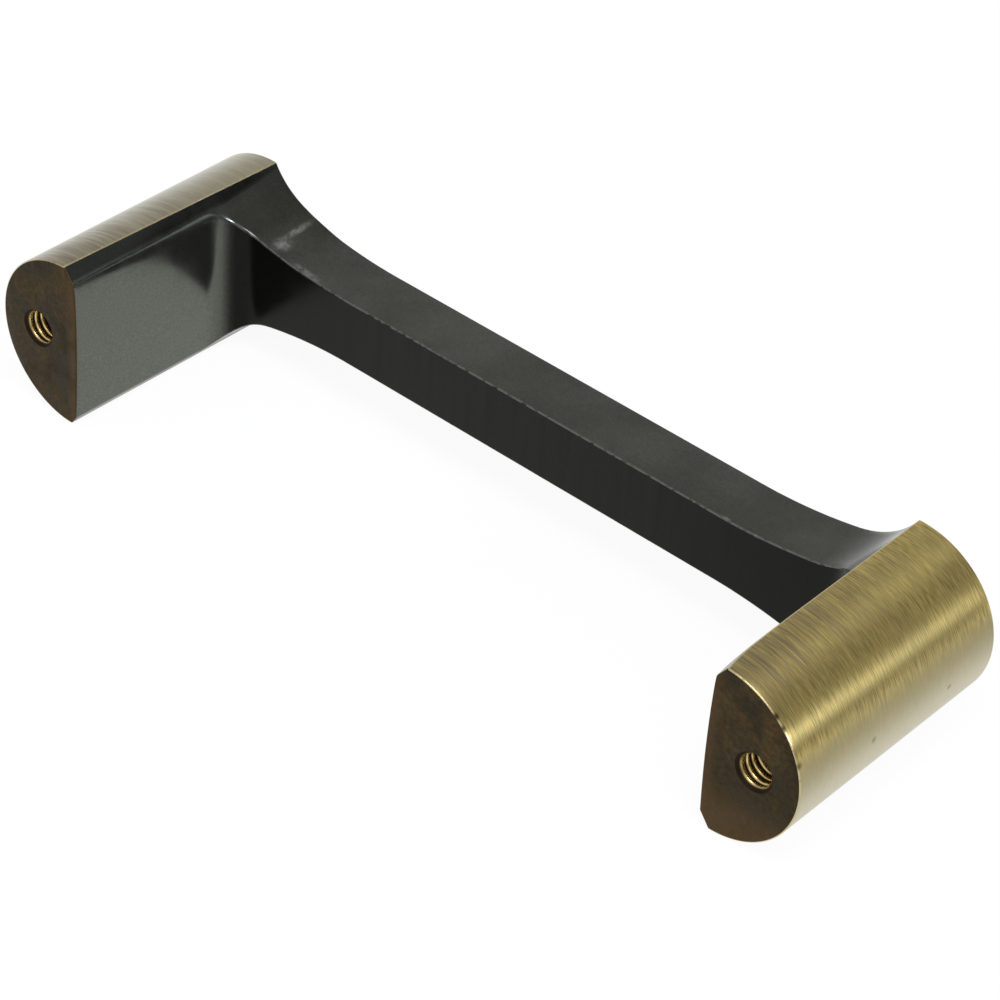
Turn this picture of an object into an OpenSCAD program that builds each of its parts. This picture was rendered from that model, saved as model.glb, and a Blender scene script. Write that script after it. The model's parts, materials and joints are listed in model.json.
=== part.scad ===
// Bridge cabinet handle, cast and machined in one piece.
// X runs along the bar and Y from the cabinet front out to the grip. Z is up, as on a drawer front.
// The origin lies on the mounting plane, midway between the two screw holes.

/* [Overall] */
// Distance between the centres of the two screw holes
hole_spacing = 96; // [64:0.5:320]
// Height of the handle from the mounting plane to the front face
projection = 30; // [27:0.5:45]

/* [Legs] */
// Radius of the half-round outer face of each leg
leg_r = 9.8; // [9.2:0.1:12]
// How far the centre of that round face lies inwards of the screw hole
leg_inset = 4.6; // [3.6:0.1:5.2]
// How far the flat inner face of a leg lies inwards of the screw hole
flat_inset = 5.4; // [5.2:0.1:7]
// Radius of the fillet where a leg's flat face meets the back of the bar
root_fillet_r = 4; // [1:0.25:8]
// Radius that softens the front rim of each leg
rim_r = 0.5; // [0.1:0.1:1]

/* [Bar] */
// Width of the bar at its middle, measured up and down
bar_w = 7.9; // [6:0.1:9.5]
// Thickness of the bar, from its back to the front face
bar_t = 7.2; // [4:0.1:10]

/* [Flares] */
// Radius of the tight end of each flare, where the bar widens into the leg
flare_r = 10; // [6:0.25:11]
// Slope, against the bar, at which a flare runs out on the leg's round face
flare_angle = 59; // [45:1:62]
// Radius of the long gentle sweep between the straight middle and the tight end
sweep_r = 55; // [30:1:90]
// How far a flare's lip lies inwards of the leg's round centre on the front face
lip_inset = 0.4; // [0:0.05:1.5]
// Angle by which the flares lean outwards on their way back to the mounting face
flare_lean = 1.5; // [0:0.1:2]

/* [Screw holes] */
// Bore of each threaded hole, at the crests of a number 8-32 thread
bore_d = 3.45; // [2.5:0.05:5]
// Depth of the full bore below the mounting face
bore_depth = 14; // [8:0.5:20]
// Width of the countersink round the mouth of each hole
mouth_width = 0.475; // [0.2:0.025:1]
// Full angle of that countersink
mouth_angle = 90; // [60:1:120]
// Angle of the drill point at the bottom of the bore
drill_point_angle = 118; // [90:1:140]

/* [Hidden] */
$fn = 96;
// How far every cutting shape runs past the face that it cuts
over = 1;
// How far the tight arc of a flare cuts through the sweep, so that no ridge is left between them
blend_dip = 0.003;
brass = [0.62, 0.52, 0.33];

hole_x = hole_spacing / 2;
leg_x = hole_x - leg_inset;
flat_x = hole_x - flat_inset;
gap_depth = projection - bar_t;
bar_half = bar_w / 2;

// The flare in the front view: the lip on the leg, the centre of the tight arc, then the centre of
// the sweep, which runs tangent to the straight edge of the bar and into the tight arc.
lip_x = leg_x - lip_inset;
lip_z = sqrt(pow(leg_r, 2) - pow(lip_inset, 2));
tight_x = lip_x - flare_r * sin(flare_angle);
tight_z = lip_z + flare_r * cos(flare_angle);
sweep_z = bar_half + sweep_r;
centre_gap = sweep_r - flare_r + blend_dip;
sweep_x = tight_x - sqrt(pow(centre_gap, 2) - pow(sweep_z - tight_z, 2));
// The two arcs meet on the line through their centres
join_x = sweep_x + (tight_x - sweep_x) * sweep_r / centre_gap;
cut_top = leg_r + over;
// A cut this long passes the front face and the mounting plane at any lean
cut_reach = projection + hole_x;

mouth_depth = mouth_width / tan(mouth_angle / 2);
point_depth = bore_d / 2 / tan(drill_point_angle / 2);

// One leg before its flat is cut: a round stud with a softened front rim
module leg_blank() {
    rotate([-90, 0, 0])
        rotate_extrude() {
            square([leg_r, projection - rim_r]);
            square([leg_r - rim_r, projection]);
            translate([leg_r - rim_r, projection - rim_r]) circle(rim_r);
        }
}

// The solid between the two legs, a little narrower than they are so that their rims stay whole
module web_blank() {
    web_half = leg_r - 2 * rim_r;
    translate([-leg_x, 0, -web_half]) cube([2 * leg_x, projection, 2 * web_half]);
}

// Plan of the finger gap: between the legs' flats and behind the bar, with filleted roots
module gap_outline() {
    translate([-flat_x, -over]) square([2 * flat_x, gap_depth - root_fillet_r + over]);
    translate([root_fillet_r - flat_x, -over]) square([2 * (flat_x - root_fillet_r), gap_depth + over]);
    for (side = [-1, 1])
        translate([side * (flat_x - root_fillet_r), gap_depth - root_fillet_r]) circle(root_fillet_r);
}

module finger_gap() {
    translate([0, 0, -cut_top]) linear_extrude(2 * cut_top) gap_outline();
}

// Front view of what is cut away above the right half of the bar
module flare_outline() {
    translate([-over, bar_half]) square([sweep_x + over, cut_top - bar_half]);
    intersection() {
        translate([sweep_x, sweep_z]) circle(sweep_r);
        translate([sweep_x - over, 0]) square([join_x - sweep_x + over, cut_top]);
    }
    translate([tight_x, tight_z]) circle(flare_r);
}

// The same cut carried back from the lip's place on the front face, leaning outwards
module flare_cut() {
    translate([lip_x, projection, 0])
        rotate([90, 0, flare_lean])
            translate([-lip_x, 0, -cut_reach])
                linear_extrude(2 * cut_reach) flare_outline();
}

// A blind threaded hole: countersunk mouth, bore and drill point
module screw_hole() {
    rotate([-90, 0, 0]) {
        translate([0, 0, -over]) cylinder(d = bore_d, h = bore_depth + over);
        cylinder(d1 = bore_d + 2 * mouth_width, d2 = bore_d, h = mouth_depth);
        translate([0, 0, bore_depth]) cylinder(d1 = bore_d, d2 = 0, h = point_depth);
    }
}

module handle() {
    color(brass)
        difference() {
            union() {
                for (side = [-1, 1]) translate([side * leg_x, 0, 0]) leg_blank();
                web_blank();
            }
            finger_gap();
            for (across = [0, 1], upside = [0, 1])
                mirror([across, 0, 0]) mirror([0, 0, upside]) flare_cut();
            for (side = [-1, 1]) translate([side * hole_x, 0, 0]) screw_hole();
        }
}

handle();
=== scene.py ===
# %% [markdown]
# A bridge cabinet handle in antique brass.
# The handle is one casting. Two half-round legs stand on a cabinet front and carry a slim bar, and
# the bar widens into the legs with long hollow flares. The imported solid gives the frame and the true
# sizes. This script gives the same form softened edges, cut threads and an aged finish.

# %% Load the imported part
import json
import math

import bmesh
import bpy
import numpy as np
from mathutils import Matrix, Vector


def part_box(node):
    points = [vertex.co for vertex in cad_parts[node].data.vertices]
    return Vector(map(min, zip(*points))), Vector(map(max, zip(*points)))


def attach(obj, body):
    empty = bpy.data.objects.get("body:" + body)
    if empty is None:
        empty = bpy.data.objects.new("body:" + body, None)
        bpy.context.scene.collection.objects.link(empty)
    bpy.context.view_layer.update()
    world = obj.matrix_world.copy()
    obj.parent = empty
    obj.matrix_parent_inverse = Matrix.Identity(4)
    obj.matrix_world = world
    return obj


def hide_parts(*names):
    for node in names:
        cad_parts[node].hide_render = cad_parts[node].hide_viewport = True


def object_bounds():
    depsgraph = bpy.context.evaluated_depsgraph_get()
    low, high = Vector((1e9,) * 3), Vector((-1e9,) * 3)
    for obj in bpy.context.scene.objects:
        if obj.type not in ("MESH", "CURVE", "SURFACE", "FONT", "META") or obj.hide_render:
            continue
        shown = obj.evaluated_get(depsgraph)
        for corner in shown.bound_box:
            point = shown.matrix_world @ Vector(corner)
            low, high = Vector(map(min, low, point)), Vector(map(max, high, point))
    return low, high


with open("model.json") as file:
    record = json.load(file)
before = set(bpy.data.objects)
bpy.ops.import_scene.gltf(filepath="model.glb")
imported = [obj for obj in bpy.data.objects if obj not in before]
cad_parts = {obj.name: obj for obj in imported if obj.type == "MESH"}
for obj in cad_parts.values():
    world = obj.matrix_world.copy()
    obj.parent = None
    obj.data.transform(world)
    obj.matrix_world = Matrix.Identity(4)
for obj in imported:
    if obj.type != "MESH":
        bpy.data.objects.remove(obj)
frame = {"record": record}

CAD_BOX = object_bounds()
MM = 0.001
print("packed box in mm:", [round((high - low) / MM, 2) for low, high in zip(*CAD_BOX)])

# %% [markdown]
# The drawing.
# Every surface below is worked out from the few sizes that a maker's drawing gives: radii, insets and
# thicknesses. X runs along the bar, Y from the cabinet front out to the grip, and Z is up on the
# drawer front. The hole spacing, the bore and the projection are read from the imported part, so this
# form can't drift away from it.

# %% Sizes of the drawing
HOLES = next(m for m in frame["record"]["mounts"] if m["name"] == "screw_holes")
HOLE_X = HOLES["dims"]["spacing_x_mm"] * MM / 2
BORE_R = HOLES["dims"]["hole_r_mm"] * MM
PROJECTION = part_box("handle")[1].y

LEG_R = 9.85 * MM
LEG_X = HOLE_X - 4.6 * MM
FLAT_X = HOLE_X - 5.4 * MM
ROOT_R = 4 * MM
RIM_R = 0.5 * MM
BAR_HALF = 7.9 / 2 * MM
GAP_DEPTH = PROJECTION - 7.2 * MM
FLARE_R = 10 * MM
FLARE_ANGLE = math.radians(59)
SWEEP_R = 55 * MM
LIP_X = LEG_X - 0.4 * MM
LIP_Z = math.sqrt(LEG_R ** 2 - (LEG_X - LIP_X) ** 2)
print("hole spacing, bore and projection in mm:", 2 * HOLE_X / MM, 2 * BORE_R / MM, round(PROJECTION / MM, 2))

# %% [markdown]
# The flares.
# Seen from the front, each edge of the bar runs level, then up a gentle arc and then up a tight arc
# that ends on the leg's round face. The real one was hollowed on a wheel, so a height field over
# the bar says it best: one formula gives the half height of the metal at any distance from the
# middle, and the walls of the flares only have to follow it.

# %% Half height of the bar and flares
TIGHT_X = LIP_X - FLARE_R * math.sin(FLARE_ANGLE)
TIGHT_Z = LIP_Z + FLARE_R * math.cos(FLARE_ANGLE)
SWEEP_Z = BAR_HALF + SWEEP_R
SWEEP_X = TIGHT_X - math.sqrt((SWEEP_R - FLARE_R) ** 2 - (SWEEP_Z - TIGHT_Z) ** 2)
JOIN_X = SWEEP_X + (TIGHT_X - SWEEP_X) * SWEEP_R / (SWEEP_R - FLARE_R)


def flare_height(x):
    """Half height at a distance x from the middle: level, then one circle's lower half, then another's."""
    sweep = SWEEP_Z - np.sqrt(SWEEP_R ** 2 - np.clip(x - SWEEP_X, 0, JOIN_X) ** 2)
    tight = TIGHT_Z - np.sqrt(np.maximum(FLARE_R ** 2 - (x - TIGHT_X) ** 2, 0))
    return np.where(x < JOIN_X, sweep, tight)


print("half heights in mm at 0, 30, 40 mm:", np.round(flare_height(np.array([0, 30, 40]) * MM) / MM, 2))

# %% [markdown]
# Four corners, polished by hand.
# The flares lean outwards a little on their way back to the mounting face, and the wheel never treats
# two corners alike. A small table names each corner by its side and by up or down, and says how far
# it leans, how much its lip runs off at the foot, how full its tight arc was left and how deep the
# wheel dished it between its back edge and the front.

# %% Corner finish
CORNERS = {
    # (side, upside): lean in degrees, then run-off at the foot, fullness of the arc and dish in mm
    (1, 1): (0.4, 0.6, 0.0, 0.35),
    (1, -1): (1.5, 0.0, 0.0, 0.0),
    (-1, 1): (1.5, 0.0, 0.3, 1.0),
    (-1, -1): (0.5, 0.0, 0.0, 0.0),
}
RUN_OFF_LENGTH = 2.5 * MM
DISH_REACH = 2.8 * MM
DISH_SKEW = 1.8
FULL_REACH = 4 * MM
CROWN = 0.22 * MM


def lip_shift(y, corner):
    """Outward shift of a corner's flare at y: its lean over the depth, plus a decay from the foot."""
    lean, run_off = CORNERS[corner][:2]
    return (PROJECTION - y) * math.tan(math.radians(lean)) + run_off * MM * np.exp(-y / RUN_OFF_LENGTH)


def corner_height(x, y, corner):
    """The flare's height, shifted by the lean, plus a bump where the arc is full, less the wheel's dish.

    The dish is nothing at the lip, deepest one reach further in and fades from there by an exponential.
    Over the depth it is a skewed half sine, deepest near the bar's back and nothing at foot and front.
    """
    full, dish = CORNERS[corner][2:]
    shifted = x - lip_shift(y, corner)
    part = np.clip((shifted - JOIN_X + FULL_REACH) / (LIP_X - JOIN_X + FULL_REACH), 0, 1)
    depth = np.clip(y / PROJECTION, 0, 1)
    inwards = np.maximum(LIP_X - shifted, 0) / DISH_REACH
    hollow = inwards * np.exp(1 - inwards) * np.sin(np.pi * depth ** DISH_SKEW)
    return flare_height(shifted) + full * MM * np.sin(np.pi * part) ** 2 - dish * MM * hollow


def leg_height(x):
    """Height of the leg's round face at x: a circle round the leg's centre."""
    return np.sqrt(LEG_R ** 2 - (x - LEG_X) ** 2)


print("lip shift at the foot in mm:", {name: round(float(lip_shift(0, name)) / MM, 2) for name in CORNERS})

# %% [markdown]
# Grids that share their borders.
# The casting is closed from a handful of grids: the walls of the flares, the legs' round faces, the
# back of the bar with its filleted roots, the legs' flats, the front, the feet and the holes. Each
# grid is computed as whole arrays. Where two meet, they use the same border values, so merging
# doubles afterwards closes the skin with no gap.

# %% Shared rows and columns
FOOT_ROWS = 26
WALL_ROWS = 9
STRIP = 1
ARC = 112
fillet = np.linspace(0, np.pi / 2, 13)[1:]
bar_x = np.concatenate([
    np.linspace(0, SWEEP_X, 16),
    np.linspace(SWEEP_X, JOIN_X, 14)[1:],
    np.linspace(JOIN_X, FLAT_X - ROOT_R, 4)[1:],
])
back_x = np.concatenate([bar_x, FLAT_X - ROOT_R + ROOT_R * np.sin(fillet)])
back_y = np.concatenate([np.full(len(bar_x), GAP_DEPTH), GAP_DEPTH - ROOT_R + ROOT_R * np.cos(fillet)])
turned = np.concatenate([np.zeros(len(bar_x)), fillet])
flat_y = np.linspace(0, GAP_DEPTH - ROOT_R, FOOT_ROWS + 1)
wall_share = np.linspace(0, 1, WALL_ROWS + 1)
leg_y = np.concatenate([flat_y, GAP_DEPTH - ROOT_R + (PROJECTION - GAP_DEPTH + ROOT_R) * wall_share[1:]])

print("columns from the middle to a flat:", len(back_x), "rows up a leg:", len(leg_y))

BRASS, BRONZE, PATINA, THREAD, FRONT = range(5)
patches = []


def patch(x, y, z, side, finish):
    """Keeps one grid of points, x turned to its side of the middle, with the finish that it gets."""
    x, y, z = np.broadcast_arrays(x, y, z)
    patches.append((np.stack([side * x, y, z], axis=-1), finish))


# %% [markdown]
# Walls of the flares.
# A wall is ruled straight from the back edge of the bar to the front face, at the height that the
# formula gives. Past the flat, a narrow strip goes on from the flat to the lip, where the hollow
# cuts the leg's round face.

# %% Flare walls and lip strips
def lip_line(y, corner):
    """x and height of the lip: the flare's end on the front view, shifted, and then the round face there."""
    x = LIP_X + lip_shift(y, corner)
    return x, leg_height(x)


def flare_wall(corner):
    """Grid over the bar: x as the back's columns, y from the back edge to the front in equal shares."""
    side, upside = corner
    y = back_y + (PROJECTION - back_y) * wall_share[:, None]
    patch(back_x, y, upside * corner_height(back_x, y, corner), side, BRONZE)


def lip_strip(corner):
    """Grid from the flat to the lip at every depth: a share of that width, at the flare's height."""
    side, upside = corner
    share = np.linspace(0, 1, STRIP + 1)
    y = leg_y[:, None]
    lip, top = lip_line(y, corner)
    x = FLAT_X + (lip - FLAT_X) * share
    z = corner_height(x, y, corner) + (top - corner_height(lip, y, corner)) * share
    patch(x, y, upside * z, side, BRONZE)
    return x, y, upside * z


strips = {corner: lip_strip(corner) for corner in CORNERS}
for corner in CORNERS:
    flare_wall(corner)
print("grids for walls and strips:", len(patches))

# %% [markdown]
# Backs and flats.
# The back of the bar, its filleted roots and the legs' flats make one U when seen from above. It is
# ruled from the lower flare to the upper one. Hand polishing left the flats a little crowned, which
# bends what they reflect, so the middle of each rule stands proud by a parabola. On the left it also
# rolled the upper edge over, so the rule rises in a straight line and falls away by an exponential.

# %% The U between the legs
ROLL = {1: 0.05 * MM, -1: 0.3 * MM}
ROLL_WIDTH = 0.09
rule = np.concatenate([[-1, -0.95], np.linspace(-0.88, 0.88, 31), [0.95, 1]])
crown_share = 1 - rule ** 2
roll_share = (1 - np.exp((rule - 1) / ROLL_WIDTH)) * (1 + rule) / 2


def ruled_height(x, y, side):
    """Heights along each rule, from the lower corner's surface to the upper one's."""
    low = -corner_height(x, y, (side, -1))[:, None]
    high = corner_height(x, y, (side, 1))[:, None]
    return low + (high - low) * (rule + 1) / 2


for side in (1, -1):
    # The crown fades out round the fillet, so the back of the bar stays nearly flat
    crown = (turned / (np.pi / 2))[:, None] * (CROWN * crown_share + ROLL[side] * roll_share)
    patch(back_x[:, None] - crown * np.sin(turned)[:, None],
          back_y[:, None] - crown * np.cos(turned)[:, None],
          ruled_height(back_x, back_y, side), side, BRONZE)
    flat_x = np.full(len(flat_y), FLAT_X)
    flat_z = ruled_height(flat_x, flat_y, side)
    patch(FLAT_X - CROWN * crown_share - ROLL[side] * roll_share, flat_y[:, None], flat_z, side, BRONZE)
print("points up each rule of the U:", len(rule))

# %% [markdown]
# Round faces and front.
# A leg's outside is part of a cylinder, from the upper lip round to the lower one. The front is flat
# and closes the top and bottom outlines with straight rules.

# %% Legs and front face
def leg_angles(y, side):
    """Angle at every depth and share of the way, from the upper lip round the outside to the lower lip."""
    top = np.arccos((lip_line(y, (side, 1))[0] - LEG_X) / LEG_R)
    bottom = -np.arccos((lip_line(y, (side, -1))[0] - LEG_X) / LEG_R)
    return top[:, None] + (bottom - top)[:, None] * np.linspace(0, 1, ARC + 1)


front_outline = []
feet = {}
for side in (1, -1):
    angle = leg_angles(leg_y, side)
    leg_x = LEG_X + LEG_R * np.cos(angle)
    leg_z = LEG_R * np.sin(angle)
    patch(leg_x, leg_y[:, None], leg_z, side, BRASS)
    # This side's half of the front outline, from the middle below, round the leg, to the middle above
    below = -corner_height(back_x, PROJECTION, (side, -1))
    above = corner_height(back_x, PROJECTION, (side, 1))
    half = (np.concatenate([back_x, leg_x[-1, ::-1], back_x[::-1]]),
            np.concatenate([below, leg_z[-1, ::-1], above[::-1]]))
    front_outline.append(np.stack([side * half[0], np.full(len(half[0]), PROJECTION), half[1]], axis=-1))
    # The foot's outline, once round: round face, lower strip, flat, upper strip
    upper_x, _, upper_z = strips[side, 1]
    lower_x, _, lower_z = strips[side, -1]
    flat_row = ruled_height(np.array([FLAT_X]), np.array([0.0]), side)[0]
    flat_foot = FLAT_X - CROWN * crown_share - ROLL[side] * roll_share
    feet[side] = (np.concatenate([leg_x[0], lower_x[0, -2::-1], flat_foot[1:], upper_x[0, 1:]]),
                  np.concatenate([leg_z[0], lower_z[0, -2::-1], flat_row[1:], upper_z[0, 1:]]))
front_face = np.concatenate([front_outline[0][1:], front_outline[1][::-1][1:]])
print("points round each foot:", len(feet[1][0]))

# %% [markdown]
# Threaded holes.
# Each foot is drilled and tapped for a number 8-32 screw. A thread is a helix, so its grid has rows
# that climb with the angle: eight rows make one turn of the 60 degree form, flat at the crest and at
# the root. The rows are cut off level at the mouth and at the end of the tap, and the wall is the
# wider of the thread and the countersink.

# %% Thread, countersink and drill point
PITCH = 25.4 / 32 * MM
MAJOR_R = 4.166 / 2 * MM
MOUTH_R = BORE_R + 0.475 * MM
FULL_THREAD = 0.95 * MM
FIRST_THREAD = 0.35 * MM
TAP_END = 10.5 * MM
RUN_OUT = 1.2 * MM
BORE_END = 14 * MM
DRILL_POINT = BORE_R / math.tan(math.radians(118 / 2))
ROWS_A_TURN = 8
FORM = np.array([0.0, 0.0, 0.12, 0.56, 1.0, 1.0, 0.56, 0.12])
RINGS = 2


def smooth_step(value):
    """0 below 0, 1 above 1 and an S-shaped cubic between them."""
    t = np.clip(value, 0, 1)
    return t * t * (3 - 2 * t)


def tapped_hole(side):
    """Grids of one foot and its hole. Depth climbs one pitch a turn, clockwise as seen from outside."""
    outline_x, outline_z = feet[side]
    angle = np.arctan2(outline_z, side * (outline_x - HOLE_X))
    turn = ((angle[0] - angle) / (2 * np.pi)) % 1
    turn[0], turn[-1] = (0, 1) if side == 1 else (1, 0)
    row = np.arange(-ROWS_A_TURN, int(TAP_END / PITCH * ROWS_A_TURN) + ROWS_A_TURN)
    depth = np.clip(PITCH * (row[:, None] / ROWS_A_TURN + turn), 0, TAP_END)
    form = FORM[row % ROWS_A_TURN][:, None]
    begun = smooth_step((depth - FIRST_THREAD) / (FULL_THREAD - FIRST_THREAD))
    cut = begun * smooth_step((TAP_END - depth) / RUN_OUT)
    radius = np.maximum(BORE_R + (MAJOR_R - BORE_R) * form * cut, MOUTH_R - depth)
    radius = np.vstack([radius, np.full_like(turn, BORE_R), np.zeros_like(turn)])
    depth = np.vstack([depth, np.full_like(turn, BORE_END), np.full_like(turn, BORE_END + DRILL_POINT)])
    local = radius * np.cos(angle), radius * np.sin(angle)
    patch(HOLE_X + side * local[0], depth, local[1], side, THREAD)
    share = np.linspace(0, 1, RINGS + 1)[:, None]
    mouth_x = HOLE_X + side * MOUTH_R * np.cos(angle)
    mouth_z = MOUTH_R * np.sin(angle)
    patch(mouth_x + (outline_x - mouth_x) * share, 0.0, mouth_z + (outline_z - mouth_z) * share, side, PATINA)


for side in (1, -1):
    tapped_hole(side)
print("turns of thread in each hole:", round(TAP_END / PITCH, 1), "grids in all:", len(patches))

# %% [markdown]
# One closed skin.
# The grids go into one mesh. Doubled border points are merged, which also closes the drill points and
# the cut-off thread rows, and then the normals are turned outwards. The front is a single flat face, so
# that nothing stands in the way when its edges are rounded.

# %% Put the grids into a mesh
MERGE = 2e-6


def grid_quads(rows, columns, first):
    """Corner numbers of a grid's quads: each point with its neighbours one column, one row and both on."""
    corner = np.arange(rows * columns).reshape(rows, columns) + first
    quads = np.stack([corner[:-1, :-1], corner[:-1, 1:], corner[1:, 1:], corner[1:, :-1]], axis=-1)
    return quads.reshape(-1, 4)


def skin_from(grids, flat_face, name):
    """Mesh of all grids and one flat face, with each one's finish as the material number of its faces."""
    points, quads, finishes = [], [], []
    first = 0
    for grid, finish in grids:
        rows, columns = grid.shape[:2]
        points.append(grid.reshape(-1, 3))
        quads.append(grid_quads(rows, columns, first))
        finishes.append(np.full(len(quads[-1]), finish))
        first += rows * columns
    points.append(flat_face)
    faces = np.concatenate(quads).tolist() + [list(range(first, first + len(flat_face)))]
    finishes.append([FRONT])
    mesh = bpy.data.meshes.new(name)
    mesh.from_pydata(np.concatenate(points), [], faces)
    mesh.polygons.foreach_set("material_index", np.concatenate(finishes).astype(np.int32))
    work = bmesh.new()
    work.from_mesh(mesh)
    bmesh.ops.remove_doubles(work, verts=work.verts, dist=MERGE)
    bmesh.ops.dissolve_degenerate(work, dist=MERGE / 4, edges=work.edges)
    bmesh.ops.recalc_face_normals(work, faces=work.faces)
    open_edges = sum(1 for edge in work.edges if len(edge.link_faces) != 2)
    print(name, "faces:", len(work.faces), "open edges:", open_edges, "volume in mm3:",
          round(work.calc_volume() / MM ** 3, 1))
    work.to_mesh(mesh)
    work.free()
    return mesh


skin = skin_from(patches, front_face, "handle_skin")

# %% [markdown]
# Soft edges.
# No edge on a cast and polished handle is knife sharp. The Bevel modifier rounds only the edges that
# carry a weight, and the weight sets how wide. It marks the new faces with a material number of their
# own, which later tells where wear goes. The wheel took most off the edge round the left upper root,
# so that one is the widest.

# %% Bevel weights and the modifier
WIDEST = RIM_R
SHARP = math.radians(24)
EDGE_FACES = 5
WEIGHTS = {"rim": 0.4, "ridge": 0.3, "lip": 0.22, "arc": 0.24, "foot": 0.3, "worn root": 0.5}


def edge_kind(middle, finishes):
    """Which edge of the drawing this is, from where it lies and what meets there."""
    x, y, z = middle
    if THREAD in finishes:
        return None
    if y < MERGE:
        return "arc" if BRASS in finishes else "foot"
    if y > PROJECTION - MERGE:
        return "rim" if BRASS in finishes else "ridge"
    if BRASS in finishes:
        return "lip"
    in_root = x < ROOT_R - FLAT_X and y > GAP_DEPTH - ROOT_R
    return "worn root" if in_root and z > 0 else "ridge"


def weigh_edges(mesh):
    """Gives every sharp edge outside the threads its bevel weight."""
    work = bmesh.new()
    work.from_mesh(mesh)
    layer = work.edges.layers.float.new("bevel_weight_edge")
    counts = dict.fromkeys(WEIGHTS, 0)
    for edge in work.edges:
        if edge.calc_face_angle(0) < SHARP:
            continue
        finishes = {face.material_index for face in edge.link_faces}
        kind = edge_kind((edge.verts[0].co + edge.verts[1].co) / 2, finishes)
        if kind:
            edge[layer] = WEIGHTS[kind]
            counts[kind] += 1
    work.to_mesh(mesh)
    work.free()
    return counts


print("weighted edges:", weigh_edges(skin))
handle = bpy.data.objects.new("handle_body", skin)
bpy.context.scene.collection.objects.link(handle)
bevel = handle.modifiers.new("soft_edges", "BEVEL")
bevel.limit_method = "WEIGHT"
bevel.width = WIDEST
bevel.segments = 3
bevel.material = EDGE_FACES
bevel.miter_outer = "MITER_ARC"
bevel.use_clamp_overlap = False
for slot_number in range(EDGE_FACES + 1):
    skin.materials.append(None)

# %% [markdown]
# Where wear and painted shade go.
# The bevel is made final here, so that its faces can be told apart. Each rounded edge gets the finish
# of its neighbour and a number for how bare it is rubbed, which is kept on the faces. A second number
# marks the back of the bar, where painted shade goes.

# %% Apply the bevel and sort its faces
# Each rounded edge: its finish and how bare it is. The root's entry covers all edges of the finger gap.
BARE = {"rim": (BRASS, 0.42), "ridge": (BRONZE, 0.46), "arc": (BRASS, 0.55), "foot": (PATINA, 0.25),
        "lip": (BRASS, 0.72), "root": (BRONZE, 0.50)}
# How far inside the nominal border a rounded edge's faces may lie
LIP_SLACK = 0.1 * MM
LEG_SLACK = 0.45 * MM
FOOT_SLACK = 0.2 * MM
# A face is upright while its normal's Z stays under this
UPRIGHT = 0.32
# The painted shade on the back starts this many degrees round the fillet from the flat, and is full at twice
# that
BACK_TURN = 26


def apply_modifiers(piece):
    """Replaces the piece's mesh by what its modifiers make of it."""
    evaluated = piece.evaluated_get(bpy.context.evaluated_depsgraph_get())
    mesh = bpy.data.meshes.new_from_object(evaluated)
    piece.modifiers.clear()
    piece.data = mesh
    return mesh


def read_faces(mesh, name, width=3):
    """One property of all faces as an array with a row for each face."""
    values = np.empty(len(mesh.polygons) * width, dtype=np.float32 if width > 1 else np.int32)
    mesh.polygons.foreach_get(name, values)
    return values.reshape(-1, width) if width > 1 else values


def sort_faces(mesh):
    """Finish and bareness of each face: an edge's kind follows from depth and distance to the leg's axis."""
    x, y, z = np.abs(read_faces(mesh, "center")).T
    number = read_faces(mesh, "material_index", 1)
    rounded = number == EDGE_FACES
    on_leg = (x > LIP_X - LIP_SLACK) & (np.hypot(x - LEG_X, z) > LEG_R - LEG_SLACK)
    front = y > PROJECTION - WIDEST
    foot = y < FOOT_SLACK
    kind = np.select([front & on_leg, front, foot & on_leg, foot, on_leg],
                     ["rim", "ridge", "arc", "foot", "lip"], "root")
    bare = np.zeros(len(number), dtype=np.float32)
    for name, (finish, amount) in BARE.items():
        chosen = rounded & (kind == name)
        number[chosen] = finish
        bare[chosen] = amount
    mesh.polygons.foreach_set("material_index", number)
    mesh.attributes.new("wear", "FLOAT", "FACE").data.foreach_set("value", bare)
    return {name: int((rounded & (kind == name)).sum()) for name in BARE}


def mark_painted_shade(mesh):
    """Share of painted shade: 1 on the back of the bar, falling to 0 round each root's fillet by the angle
    turned, 0 elsewhere.
    """
    places = np.empty(len(mesh.vertices) * 3, dtype=np.float32)
    mesh.vertices.foreach_get("co", places)
    corners = np.empty(len(mesh.loops), dtype=np.int32)
    mesh.loops.foreach_get("vertex_index", corners)
    x, y, _ = places.reshape(-1, 3)[corners].T
    face_of = np.repeat(np.arange(len(mesh.polygons)), read_faces(mesh, "loop_total", 1))
    in_gap = np.abs(read_faces(mesh, "center")[:, 0]) < FLAT_X - 0.02 * MM
    upright = (in_gap & (np.abs(read_faces(mesh, "normal")[:, 2]) < UPRIGHT))[face_of]
    bronze = (read_faces(mesh, "material_index", 1) == BRONZE)[face_of]
    turned_by = np.degrees(np.arctan2(y - (GAP_DEPTH - ROOT_R), np.abs(x) - (FLAT_X - ROOT_R)))
    value = smooth_step((turned_by - BACK_TURN) / BACK_TURN) * (upright & bronze & (y < PROJECTION - WIDEST))
    mesh.attributes.new("back", "FLOAT", "CORNER").data.foreach_set("value", value.astype(np.float32))


def sharpen_mouths(mesh):
    """Marks the rims of the screw holes sharp, so that the countersink stays crisp."""
    work = bmesh.new()
    work.from_mesh(mesh)
    for edge in work.edges:
        if {face.material_index for face in edge.link_faces} == {PATINA, THREAD}:
            edge.smooth = False
    work.to_mesh(mesh)
    work.free()


skin = apply_modifiers(handle)
skin.name = "handle_mesh"
skin.shade_smooth()
print("rounded faces of each kind:", sort_faces(skin))
mark_painted_shade(skin)
sharpen_mouths(skin)
print("finished faces:", len(skin.polygons))
weighted = handle.modifiers.new("even_shading", "WEIGHTED_NORMAL")
weighted.keep_sharp = True
weighted.weight = 80

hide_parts("handle")
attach(handle, "root")

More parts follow.
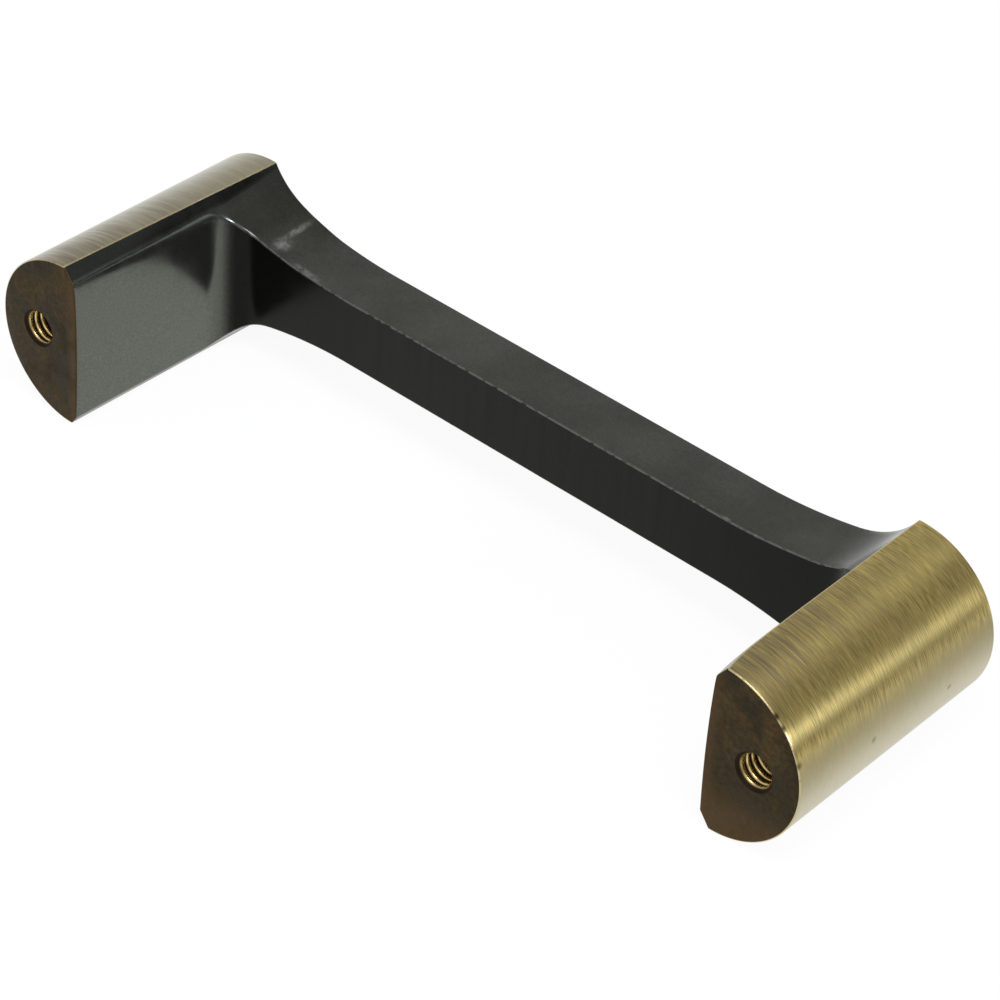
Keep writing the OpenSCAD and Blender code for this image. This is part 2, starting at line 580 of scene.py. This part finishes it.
# %% [markdown]
# Tools for the finishes.
# Materials are networks of nodes. A few small helpers keep them readable: one adds a node and fills or
# links its inputs by name, one mixes two colours and one turns a range of values into a soft mask.

# %% Helpers for nodes
def join(tree, socket, value):
    """Links the socket to an output, or gives it a plain value."""
    if isinstance(value, bpy.types.NodeSocket):
        tree.links.new(value, socket)
    else:
        socket.default_value = (*value, 1) if socket.type == "RGBA" and len(value) == 3 else value


def node(tree, kind, inputs=None, **settings):
    """Adds a node with its settings, and its inputs given by name or number."""
    made = tree.nodes.new("ShaderNode" + kind)
    for name, value in settings.items():
        setattr(made, name, value)
    for name, value in (inputs or {}).items():
        join(tree, made.inputs[name], value)
    return made


def mix(tree, share, first, second):
    """Colour between the first, at share 0, and the second, at share 1."""
    return node(tree, "Mix", {0: share, 6: first, 7: second}, data_type="RGBA").outputs[2]


def fade(tree, value, low, high, start=0.0, end=1.0):
    """Soft S-shaped step from start, where the value is low, to end, where it is high."""
    ends = {"Value": value, "From Min": low, "From Max": high, "To Min": start, "To Max": end}
    return node(tree, "MapRange", ends, interpolation_type="SMOOTHSTEP").outputs[0]


def math_node(tree, operation, first, second=0.0, third=0.0):
    """Result of one sum on two values, or on three where the operation takes them."""
    return node(tree, "Math", {0: first, 1: second, 2: third}, operation=operation).outputs[0]


def times(tree, first, second):
    """Product of two values."""
    return math_node(tree, "MULTIPLY", first, second)


def vector_node(tree, operation, first, second=None):
    """Result of one sum on vectors: a vector, or a value for a length or a dot product."""
    given = {0: first} if second is None else {0: first, 1: second}
    made = node(tree, "VectorMath", given, operation=operation)
    return made.outputs["Value" if operation in ("LENGTH", "DOT_PRODUCT") else "Vector"]


def noise(tree, vector, scale, detail=2.0, roughness=0.5):
    """Smooth random values round 0.5 that change over the given number of steps a metre."""
    given = {"Vector": vector, "Scale": scale, "Detail": detail, "Roughness": roughness}
    return node(tree, "TexNoise", given).outputs[0]


def effect(name, inputs, output):
    """An empty node group with named inputs and one named value output."""
    group = bpy.data.node_groups.new(name, "ShaderNodeTree")
    for label, (kind, value) in inputs.items():
        socket = group.interface.new_socket(label, in_out="INPUT", socket_type="NodeSocket" + kind)
        if value is not None:
            socket.default_value = value
    group.interface.new_socket(output, in_out="OUTPUT", socket_type="NodeSocketFloat")
    return group, group.nodes.new("NodeGroupInput").outputs, group.nodes.new("NodeGroupOutput").inputs[0]


# %% [markdown]
# Brush grain.
# A belt or a wheel leaves long fine lines. Noise that is squeezed hard across the lines and hardly at
# all along them looks just like that. The legs, the front and the bar's back share this effect, each
# with its own fineness.

# %% Group for brush lines
grain_group, given, result = effect("brush_grain", {
    "Vector": ("Vector", None), "Squeeze": ("Vector", (90, 4500, 90)), "Contrast": ("Float", 0.5)}, "Grain")
squeezed = vector_node(grain_group, "MULTIPLY", given["Vector"], given["Squeeze"])
lines = noise(grain_group, squeezed, 1, 3, 0.6)
centred = math_node(grain_group, "SUBTRACT", lines, 0.5)
grain_group.links.new(math_node(grain_group, "MULTIPLY_ADD", centred, given["Contrast"], 0.5), result)

# %% [markdown]
# Mottling.
# Chemical ageing never takes evenly. Noise with several layers of detail gives soft clouds, and a
# narrow step turns the same noise into patches with an edge.

# %% Group for clouds and patches
mottle_group, given, result = effect("mottle", {
    "Vector": ("Vector", None), "Clouds a metre": ("Float", 200.0),
    "Low": ("Float", 0.35), "High": ("Float", 0.65)}, "Patch")
clouds = noise(mottle_group, given["Vector"], given["Clouds a metre"], 5, 0.6)
mottle_group.links.new(fade(mottle_group, clouds, given["Low"], given["High"]), result)

# %% [markdown]
# Edge wear.
# Handling rubs the dark finish off the edges first. The number kept on the rounded faces says how bare
# an edge is, and noise breaks the bare line up into nicks and gaps.

# %% Group for rubbed edges
wear_group, given, result = effect("edge_wear", {
    "Vector": ("Vector", None), "Nicks a metre": ("Float", 900.0)}, "Bare")
kept = node(wear_group, "Attribute", attribute_name="wear").outputs["Fac"]
breaks = noise(wear_group, given["Vector"], given["Nicks a metre"], 3, 0.6)
level = math_node(wear_group, "ADD", kept, breaks)
on_edge = math_node(wear_group, "GREATER_THAN", kept, 0.01)
wear_group.links.new(times(wear_group, fade(wear_group, level, 0.84, 1.04), on_edge), result)

# %% [markdown]
# Scratches.
# Fine scratches are noise stretched along one direction and cut off so high that only thin lines stay.

# %% Group for scratches
scratch_group, given, result = effect("fine_scratches", {
    "Vector": ("Vector", None), "Turn": ("Vector", (0, 0, 0)), "Stretch": ("Vector", (2500, 2500, 120)),
    "Low": ("Float", 0.66)}, "Scratch")
turned_place = node(scratch_group, "VectorRotate", {"Vector": given["Vector"], "Rotation": given["Turn"]},
                    rotation_type="EULER_XYZ").outputs[0]
stretched = vector_node(scratch_group, "MULTIPLY", turned_place, given["Stretch"])
upper = math_node(scratch_group, "ADD", given["Low"], 0.06)
lines = noise(scratch_group, stretched, 1, 1)
scratch_group.links.new(fade(scratch_group, lines, given["Low"], upper), result)

# %% [markdown]
# Single marks.
# A few marks on the real handle are unique, such as a smudge on a flare. Each is a soft ball at its
# own place in space: near the centre the value is 1 and at the given radius it is 0.

# %% Group for one mark
spot_group, given, result = effect("single_mark", {
    "Vector": ("Vector", None), "Place": ("Vector", (0, 0, 0)), "Squash": ("Vector", (1, 1, 1)),
    "Radius": ("Float", 0.001)}, "Mark")
away = vector_node(spot_group, "SUBTRACT", given["Vector"], given["Place"])
squashed = vector_node(spot_group, "MULTIPLY", away, given["Squash"])
share = math_node(spot_group, "DIVIDE", vector_node(spot_group, "LENGTH", squashed), given["Radius"])
spot_group.links.new(fade(spot_group, share, 0.2, 1.0, 1.0, 0.0), result)

print("node groups:", [group.name for group in bpy.data.node_groups])

# %% [markdown]
# Tools for one material.
# These place the groups, sum up single marks and set up a metal. The place of a point is always taken
# in the object's own coordinates, so a finish stays on the metal when the handle moves.

# %% Helpers for materials
def value_of(tree, group, **inputs):
    """Output of a group placed with the inputs given by name, an underscore standing for a space."""
    placed = node(tree, "Group", None, node_tree=group)
    for name, value in inputs.items():
        join(tree, placed.inputs[name.replace("_", " ")], value)
    return placed.outputs[0]


def marks(tree, place, spots):
    """Strongest of several single marks, each given by its place in mm, squash and radius in mm."""
    total = 0.0
    for where, squash, radius in spots:
        mark = value_of(tree, spot_group, Vector=place, Place=[v * MM for v in where],
                        Squash=squash, Radius=radius * MM)
        total = math_node(tree, "MAXIMUM", total, mark)
    return total


def new_finish(name, metallic):
    """A material, its node tree, its shader and its place input, the object's own coordinates."""
    material = bpy.data.materials.new(name)
    material.use_nodes = True
    tree = material.node_tree
    shader = tree.nodes["Principled BSDF"]
    shader.inputs["Metallic"].default_value = metallic
    place = node(tree, "TexCoord").outputs["Object"]
    return material, tree, shader, place


def bump(tree, shader, height, depth):
    """Relief of the given depth in metres."""
    relief = node(tree, "Bump", {"Height": height, "Strength": 1.0, "Distance": depth})
    tree.links.new(relief.outputs[0], shader.inputs["Normal"])


def paint(tree, shader, colour, roughness):
    """Gives the shader its colour and its roughness."""
    tree.links.new(colour, shader.inputs["Base Color"])
    tree.links.new(roughness, shader.inputs["Roughness"])
    print("nodes in this material:", len(tree.nodes))


def spread_gloss(tree, shader, way):
    """Spreads the gloss along one direction of the object, which is the one across the brush lines."""
    turned = node(tree, "VectorTransform", {0: way},
                  vector_type="VECTOR", convert_from="OBJECT", convert_to="WORLD")
    tree.links.new(turned.outputs[0], shader.inputs["Tangent"])
    shader.inputs["Anisotropic"].default_value = 0.85


# %% [markdown]
# Brushed brass.
# The legs' round faces were brushed round and round on a belt, so the lines lie at one depth and run
# round the leg. The antique finish leaves olive streaks, and near the lips, where the belt lifts off, a
# grey-brown film stays behind, most of all by the foot. Fine and coarse grain are added, and both
# tint the colour, the roughness and the relief. Lines too fine to see also spread the gloss along the
# leg and not round it, which the shader calls anisotropy: its tangent points along the leg. The lower
# halves carry a painted reflection of the floor, with weaker grain: pale low down and darker higher up.
# The top of the left leg carries a painted pale reflection, whiter towards its outer edge. Two specks
# mark the right leg and three burrs nick the arc of its foot.

# %% Material of the round faces
brass, tree, shader, place = new_finish("brushed_brass", 1)
fine = value_of(tree, grain_group, Vector=place, Squeeze=(560, 10500, 560), Contrast=5.0)
coarse = value_of(tree, grain_group, Vector=place, Squeeze=(120, 2300, 120), Contrast=1.2)
axes = node(tree, "SeparateXYZ", {0: place}).outputs
# under is 0 on the lower halves, where a painted reflection of the floor goes, and 1 higher up.
under = fade(tree, axes["Z"], 1.8 * MM, 6.0 * MM)
grain = mix(tree, 0.3, fine, coarse)
grain = mix(tree, fade(tree, under, 0, 1, 0.5, 0.0), grain, (0.5, 0.5, 0.5))
by_lip = fade(tree, math_node(tree, "ABSOLUTE", axes["Z"]), 6.6 * MM, 9.9 * MM)
by_foot = fade(tree, axes["Y"], 0, 30 * MM, 1.0, 0.35)
film = times(tree, times(tree, by_lip, by_foot), fade(tree, coarse, 0.25, 0.85, 0.25, 1.0))
clouds = value_of(tree, mottle_group, Vector=place, Clouds_a_metre=140.0)
colour = mix(tree, grain, (0.245, 0.189, 0.057), (0.73, 0.572, 0.196))
colour = mix(tree, times(tree, clouds, 0.25), colour, (0.30, 0.25, 0.12))
# Painted reflection of the floor on the lower halves: pale low down, darker higher up.
low = mix(tree, fade(tree, axes["Z"], -2 * MM, 3.5 * MM), (0.57, 0.535, 0.40), (0.31, 0.272, 0.150))
colour = mix(tree, fade(tree, under, 0, 1, 0.85, 0.0), colour, low)
# Painted pale reflection on the top of the left leg, whiter towards its outer edge.
painted_reflection_outwards = fade(tree, axes["X"], -51 * MM, -43 * MM, 1.0, 0.0)
pale = mix(tree, painted_reflection_outwards, (0.37, 0.35, 0.25), (0.66, 0.65, 0.60))
painted_reflection_upper_left = times(tree, fade(tree, axes["X"], -20 * MM, 0, 0.92, 0.0), fade(tree, axes["Z"], 2 * MM, 6 * MM))
colour = mix(tree, painted_reflection_upper_left, colour, pale)
colour = mix(tree, film, colour, (0.17, 0.14, 0.095))
specks = marks(tree, place, [((53.2, 22.97, -0.5), (1, 1, 1), 0.45), ((53.2, 11.06, 0.35), (1, 1, 1), 0.5)])
colour = mix(tree, times(tree, specks, 0.5), colour, (0.10, 0.085, 0.05))
bare = value_of(tree, wear_group, Vector=place, Nicks_a_metre=1100.0)
bare = times(tree, bare, fade(tree, axes["X"], -20 * MM, 0, 0.5, 1.0))
colour = mix(tree, bare, colour, (0.56, 0.46, 0.25))
burrs = marks(tree, place, [
    ((49.55, 0.0, 7.75), (1, 1, 1), 0.58), ((50.55, 0.0, 6.95), (1, 1, 1), 0.5),
    ((52.8, 0.0, 3.7), (1, 0.6, 1), 0.6)])
colour = mix(tree, times(tree, burrs, 0.9), colour, (0.03, 0.022, 0.012))
spread_gloss(tree, shader, (0, 1, 0))
bump(tree, shader, grain, 0.003 * MM)
paint(tree, shader, colour, fade(tree, grain, 0.1, 0.9, 0.37, 0.30))

# %% [markdown]
# Brushed front.
# The show face was brushed along the bar, so here the lines run sideways and the gloss spreads up and
# down. It is the part that hands touch, and keeps only faint olive clouds of the antique finish.

# %% Material of the front face
front, tree, shader, place = new_finish("brushed_front", 1)
fine = value_of(tree, grain_group, Vector=place, Squeeze=(300, 300, 9500), Contrast=3.2)
coarse = value_of(tree, grain_group, Vector=place, Squeeze=(60, 60, 1800), Contrast=0.9)
grain = mix(tree, 0.35, fine, coarse)
clouds = value_of(tree, mottle_group, Vector=place, Clouds_a_metre=120.0)
colour = mix(tree, grain, (0.29, 0.222, 0.092), (0.57, 0.440, 0.190))
colour = mix(tree, times(tree, clouds, 0.3), colour, (0.26, 0.21, 0.09))
spread_gloss(tree, shader, (0, 0, 1))
bump(tree, shader, grain, 0.008 * MM)
paint(tree, shader, colour, fade(tree, grain, 0.1, 0.9, 0.42, 0.30))

# %% [markdown]
# Dark bronze.
# The bar, the flares and the flats carry the dark finish and a satin polish that still mirrors the
# white studio. It is a metal with a nearly black, slightly green colour and a small matt share. The
# flats are a shade lighter than the bar. The back of the bar carries painted shade, darkest towards the
# legs and with faint upright streaks, and the narrow strips between the flats and the lips carry painted
# shade too. Near the right upper lip a pale painted reflection lies on the flare, and pale smudges lie
# on the left upper flare.

# %% Material of the bar, flares and flats
bronze, tree, shader, place = new_finish("dark_bronze", 0.93)
axes = node(tree, "SeparateXYZ", {0: place}).outputs
out_from_middle = math_node(tree, "ABSOLUTE", axes["X"])
on_flat = fade(tree, out_from_middle, FLAT_X - 1.6 * MM, FLAT_X - 0.6 * MM)
below_bar = fade(tree, axes["Y"], GAP_DEPTH - ROOT_R, GAP_DEPTH, 1.0, 0.0)
painted_strip_shade = fade(tree, out_from_middle, FLAT_X - 0.02 * MM, FLAT_X + 0.2 * MM, 0.0, 0.75)
clouds = value_of(tree, mottle_group, Vector=place, Clouds_a_metre=90.0)
streaks = value_of(tree, grain_group, Vector=place, Squeeze=(700, 700, 60), Contrast=1.4)
colour = mix(tree, clouds, (0.063, 0.065, 0.054), (0.085, 0.088, 0.073))
colour = mix(tree, times(tree, on_flat, below_bar), colour, (0.133, 0.140, 0.118))
# Painted shade on the back of the bar: near black, with faint upright streaks, darker towards the legs.
deep = mix(tree, streaks, (0.0125, 0.0130, 0.0100), (0.0205, 0.0215, 0.0163))
deep = mix(tree, fade(tree, out_from_middle, 12 * MM, 38 * MM, 0.0, 0.8), deep, (0.0095, 0.010, 0.0075))
painted_shade_share = node(tree, "Attribute", attribute_name="back").outputs["Fac"]
colour = mix(tree, painted_shade_share, colour, deep)
# Painted shade on the narrow strips between the flats and the lips.
colour = mix(tree, painted_strip_shade, colour, (0.034, 0.036, 0.029))
# Painted pale reflection on the right upper flare near the lip.
painted_flare_reflection = times(tree, fade(tree, axes["X"], 33 * MM, 39 * MM), fade(tree, axes["Z"], 6.2 * MM, 9.4 * MM))
colour = mix(tree, times(tree, painted_flare_reflection, 0.75), colour, (0.24, 0.255, 0.235))
smudges = marks(tree, place, [
    ((-36.4, 24.5, 5.2), (1, 0.8, 1), 1.4), ((-36.9, 27.0, 5.3), (2.0, 0.35, 1), 1.2),
    ((-31.4, 23.2, 4.3), (0.2, 1, 1), 0.7), ((-40.4, 22.2, 6.9), (1, 1, 1), 0.45),
    ((25.5, 23.0, 3.95), (0.3, 1, 1), 0.28), ((29.4, 22.8, 4.1), (0.3, 1, 1), 0.25)])
wisps = times(tree, smudges, fade(tree, noise(tree, place, 1100, 4, 0.65), 0.36, 0.68, 0.08, 0.6))
colour = mix(tree, wisps, colour, (0.42, 0.42, 0.40))
satin = noise(tree, place, 5000, 2, 0.6)
colour = mix(tree, fade(tree, satin, 0.3, 0.7, 0.28, 0.0), colour, (0.0, 0.0, 0.0))
bare = value_of(tree, wear_group, Vector=place, Nicks_a_metre=1300.0)
colour = mix(tree, bare, colour, (0.125, 0.128, 0.115))
polish = value_of(tree, mottle_group, Vector=place, Clouds_a_metre=260.0, Low=0.3, High=0.7)
hazy = math_node(tree, "MULTIPLY_ADD", on_flat, 0.02, 0.15)
bump(tree, shader, noise(tree, place, 1500, 3), 0.0015 * MM)
paint(tree, shader, colour, math_node(tree, "MULTIPLY_ADD", polish, 0.08, hazy))

# %% [markdown]
# Patina on the feet.
# The feet are never polished. They keep a dull brown skin with slate-grey clouds, rusty patches above
# the hole and tiny golden speckles where the crust has chipped. The left foot is the greyer one and the
# right one is warmer at its lower end, so the shares change with the side.

# %% Material of the feet
patina, tree, shader, place = new_finish("foot_patina", 1)
axes = node(tree, "SeparateXYZ", {0: place}).outputs
left = fade(tree, axes["X"], -10 * MM, 10 * MM, 1.0, 0.0)
clouds = value_of(tree, mottle_group, Vector=place, Clouds_a_metre=330.0, Low=0.38, High=0.62)
patches_of_rust = value_of(tree, mottle_group, Vector=place, Clouds_a_metre=420.0, Low=0.5, High=0.66)
above = fade(tree, axes["Z"], -1 * MM, 6 * MM)
speckle = value_of(tree, mottle_group, Vector=place, Clouds_a_metre=3800.0, Low=0.60, High=0.68)
scratch = value_of(tree, scratch_group, Vector=place, Turn=(0.0, 0.7, 0.0),
                   Stretch=(2600, 2600, 330), Low=0.68)
colour = mix(tree, clouds, (0.030, 0.023, 0.010), (0.095, 0.065, 0.026))
broad = value_of(tree, mottle_group, Vector=place, Clouds_a_metre=110.0, Low=0.4, High=0.6)
slate = times(tree, broad, fade(tree, left, 0, 1, 0.6, 0.85))
colour = mix(tree, slate, colour, (0.031, 0.027, 0.016))
rust = times(tree, patches_of_rust, fade(tree, above, 0, 1, 0.12, 0.5))
colour = mix(tree, rust, colour, (0.11, 0.048, 0.014))
colour = mix(tree, times(tree, speckle, 0.55), colour, (0.24, 0.17, 0.06))
colour = mix(tree, times(tree, scratch, 0.3), colour, (0.15, 0.115, 0.055))
grit = fade(tree, noise(tree, place, 1900, 4, 0.7), 0.32, 0.68, 0.0, 0.6)
colour = mix(tree, grit, colour, (0.020, 0.015, 0.008))
out_from_middle = math_node(tree, "ABSOLUTE", axes["X"])
by_flat = fade(tree, out_from_middle, FLAT_X, FLAT_X + 1.4 * MM, 0.5, 0.0)
colour = mix(tree, by_flat, colour, (0.10, 0.057, 0.022))
below = times(tree, fade(tree, axes["Z"], -8 * MM, -2 * MM, 0.5, 0.0), fade(tree, left, 0, 1, 1.0, 0.2))
colour = mix(tree, below, colour, (0.115, 0.066, 0.024))
bare = value_of(tree, wear_group, Vector=place, Nicks_a_metre=1500.0)
colour = mix(tree, bare, colour, (0.16, 0.115, 0.055))
bump(tree, shader, noise(tree, place, 2600, 4, 0.65), 0.03 * MM)
paint(tree, shader, colour, fade(tree, clouds, 0, 1, 0.46, 0.62))

# %% [markdown]
# The threads.
# The tap cut through the patina, so the crests deeper in are bright brass, while the mouth stays dark
# with patina and the roots between the crests carry painted shade. The distance to the hole's axis
# tells crest from root.

# %% Material of the holes
threads, tree, shader, place = new_finish("thread_brass", 1)
axes = node(tree, "SeparateXYZ", {0: place}).outputs
clouds = value_of(tree, mottle_group, Vector=place, Clouds_a_metre=900.0)
bright = mix(tree, clouds, (0.74, 0.54, 0.20), (0.95, 0.76, 0.38))
sideways = math_node(tree, "SUBTRACT", math_node(tree, "ABSOLUTE", axes["X"]), HOLE_X)
off_axis = node(tree, "CombineXYZ", {"X": sideways, "Z": axes["Z"]}).outputs[0]
radius = vector_node(tree, "LENGTH", off_axis)
crest = fade(tree, radius, BORE_R + 0.05 * MM, BORE_R + 0.22 * MM, 1.0, 0.0)
inside = times(tree, crest, fade(tree, axes["Y"], 0.15 * MM, 0.6 * MM))
# Dark for the patina at the mouth, and painted shade in the roots between the crests.
colour = mix(tree, inside, (0.022, 0.016, 0.009), bright)
bump(tree, shader, noise(tree, place, 3000, 3), 0.01 * MM)
paint(tree, shader, colour, fade(tree, inside, 0, 1, 0.5, 0.26))

for number, material in enumerate([brass, bronze, patina, threads, front]):
    skin.materials[number] = material
skin.materials.pop(index=EDGE_FACES)
print("finishes:", [material.name for material in skin.materials])

# %% [markdown]
# Floor and light.
# The photograph was taken on pure white. The floor glows plain white for the camera and for
# reflections, and keeps a small matt share that still takes the handle's soft shadow. The world is a
# bright tent: white at the height of the table and a little greyer overhead. Behind on the right it has
# a dim gap, which keeps the left flare dark, and low on the right an opening, which draws the dark line
# under the bright band on the right leg.

# %% White floor
FLOOR_Z = CAD_BOX[0].z
FLOOR_HALF = 3.0


def white_ground():
    """Matt white mixed with plain white emission for every ray that shows the ground."""
    material = bpy.data.materials.new("floor_white")
    material.use_nodes = True
    tree = material.node_tree
    tree.nodes.clear()
    ray = node(tree, "LightPath").outputs
    shown = math_node(tree, "MAXIMUM", ray["Is Camera Ray"], ray["Is Glossy Ray"])
    shown = math_node(tree, "MAXIMUM", shown, ray["Is Transmission Ray"])
    matt = node(tree, "BsdfDiffuse", {"Color": (0.9, 0.9, 0.9)}).outputs[0]
    glow = node(tree, "Emission", {"Color": (1, 1, 1), "Strength": 1.0}).outputs[0]
    both = node(tree, "MixShader", {0: times(tree, shown, 0.93), 1: matt, 2: glow}).outputs[0]
    node(tree, "OutputMaterial", {"Surface": both})
    return material


floor_mesh = bpy.data.meshes.new("floor")
floor_corners = [(x * FLOOR_HALF, y * FLOOR_HALF, FLOOR_Z) for x, y in ((-1, -1), (1, -1), (1, 1), (-1, 1))]
floor_mesh.from_pydata(floor_corners, [], [(0, 1, 2, 3)])
floor = bpy.data.objects.new("floor", floor_mesh)
bpy.context.scene.collection.objects.link(floor)
floor_mesh.materials.append(white_ground())
print("floor height in mm:", round(FLOOR_Z / MM, 2))

# %% Tent of light
world = bpy.data.worlds.new("light_tent")
bpy.context.scene.world = world
world.use_nodes = True
tree = world.node_tree
direction = node(tree, "TexCoord").outputs["Generated"]
toward = node(tree, "SeparateXYZ", {0: direction}).outputs
rise = toward["Z"]
tent = node(tree, "ValToRGB", {0: rise})
tent.color_ramp.elements[0].position = 0.05
tent.color_ramp.elements[0].color = (0.97, 0.97, 0.97, 1)
tent.color_ramp.elements[1].position = 1.0
tent.color_ramp.elements[1].color = (0.80, 0.80, 0.80, 1)
for position, grey in ((0.3, 0.80), (0.62, 0.74)):
    tent.color_ramp.elements.new(position).color = (grey, grey, grey, 1)
ray = node(tree, "LightPath").outputs["Is Camera Ray"]
toward_gap = vector_node(tree, "DOT_PRODUCT", direction, (0.45, 0.62, 0.64))
gap = fade(tree, toward_gap, 0.60, 0.87, 0.0, 0.5)
lit = mix(tree, gap, tent.outputs[0], (0, 0, 0))
low_right = times(tree, fade(tree, rise, 0.14, 0.29, 1.0, 0.0), fade(tree, toward["X"], 0.2, 0.6))
lit = mix(tree, times(tree, low_right, 0.95), lit, (0, 0, 0))
seen = mix(tree, ray, lit, (1, 1, 1))
tree.links.new(seen, tree.nodes["Background"].inputs["Color"])
print("nodes in the tent of light:", len(tree.nodes))

# %% [markdown]
# Two softboxes.
# A small cool lamp, low on the right, draws the bright band along the right leg, and a large white one
# overhead fills the brass above it. The smooth flares reflect past both, because their gloss is tight,
# and only the brushed brass catches them.

# %% Softboxes
MIDDLE = Vector((0, PROJECTION / 2, 0))
LAMP_DISTANCE = 0.7


def softbox(name, toward, size, power, colour):
    """Square lamp along a direction from the middle of the handle, facing it."""
    data = bpy.data.lights.new(name, "AREA")
    data.size = size
    data.energy = power
    data.color = colour
    lamp = bpy.data.objects.new(name, data)
    away = Vector(toward).normalized()
    facing = away.to_track_quat("Z", "Y").to_matrix().to_4x4()
    lamp.matrix_world = Matrix.Translation(MIDDLE + away * LAMP_DISTANCE) @ facing
    bpy.context.scene.collection.objects.link(lamp)
    print(name, "side in m:", size, "power in W:", power)


softbox("key_softbox", (0.94, -0.02, 0.36), 0.10, 2.3, (0.76, 0.80, 1.0))
softbox("top_softbox", (0.26, -0.28, 1.0), 0.4, 2.8, (1.0, 1.0, 1.0))

# %% [markdown]
# The camera.
# Its place, tilt and lens were worked out from the handle's own outline in the photograph.

# %% Camera
CAMERA_AZIMUTH = math.radians(39.55)
CAMERA_ELEVATION = math.radians(37.92)
CAMERA_ROLL = math.radians(3.98)
CAMERA_DISTANCE = 335.39 * MM
CAMERA_TARGET = Vector((5.217, 13.19, 0.0)) * MM
LENS = 121.825


def place_camera():
    """Camera on a sphere round the target, turned to look at it and then rolled about its own axis."""
    back = Vector((math.sin(CAMERA_AZIMUTH) * math.cos(CAMERA_ELEVATION),
                   -math.cos(CAMERA_AZIMUTH) * math.cos(CAMERA_ELEVATION),
                   math.sin(CAMERA_ELEVATION)))
    level = Vector((0, 0, 1)).cross(back).normalized()
    up = back.cross(level)
    right = level * math.cos(CAMERA_ROLL) + up * math.sin(CAMERA_ROLL)
    turn = Matrix((right, back.cross(right), back)).transposed()
    data = bpy.data.cameras.new("camera")
    data.lens = LENS
    data.sensor_width = 36
    data.clip_start = 0.01
    camera = bpy.data.objects.new("camera", data)
    camera.matrix_world = Matrix.Translation(CAMERA_TARGET + back * CAMERA_DISTANCE) @ turn.to_4x4()
    bpy.context.scene.collection.objects.link(camera)
    bpy.context.scene.camera = camera
    print("camera place in mm:", [round(value / MM, 1) for value in camera.matrix_world.translation])


place_camera()
bpy.context.scene.view_settings.view_transform = "Standard"
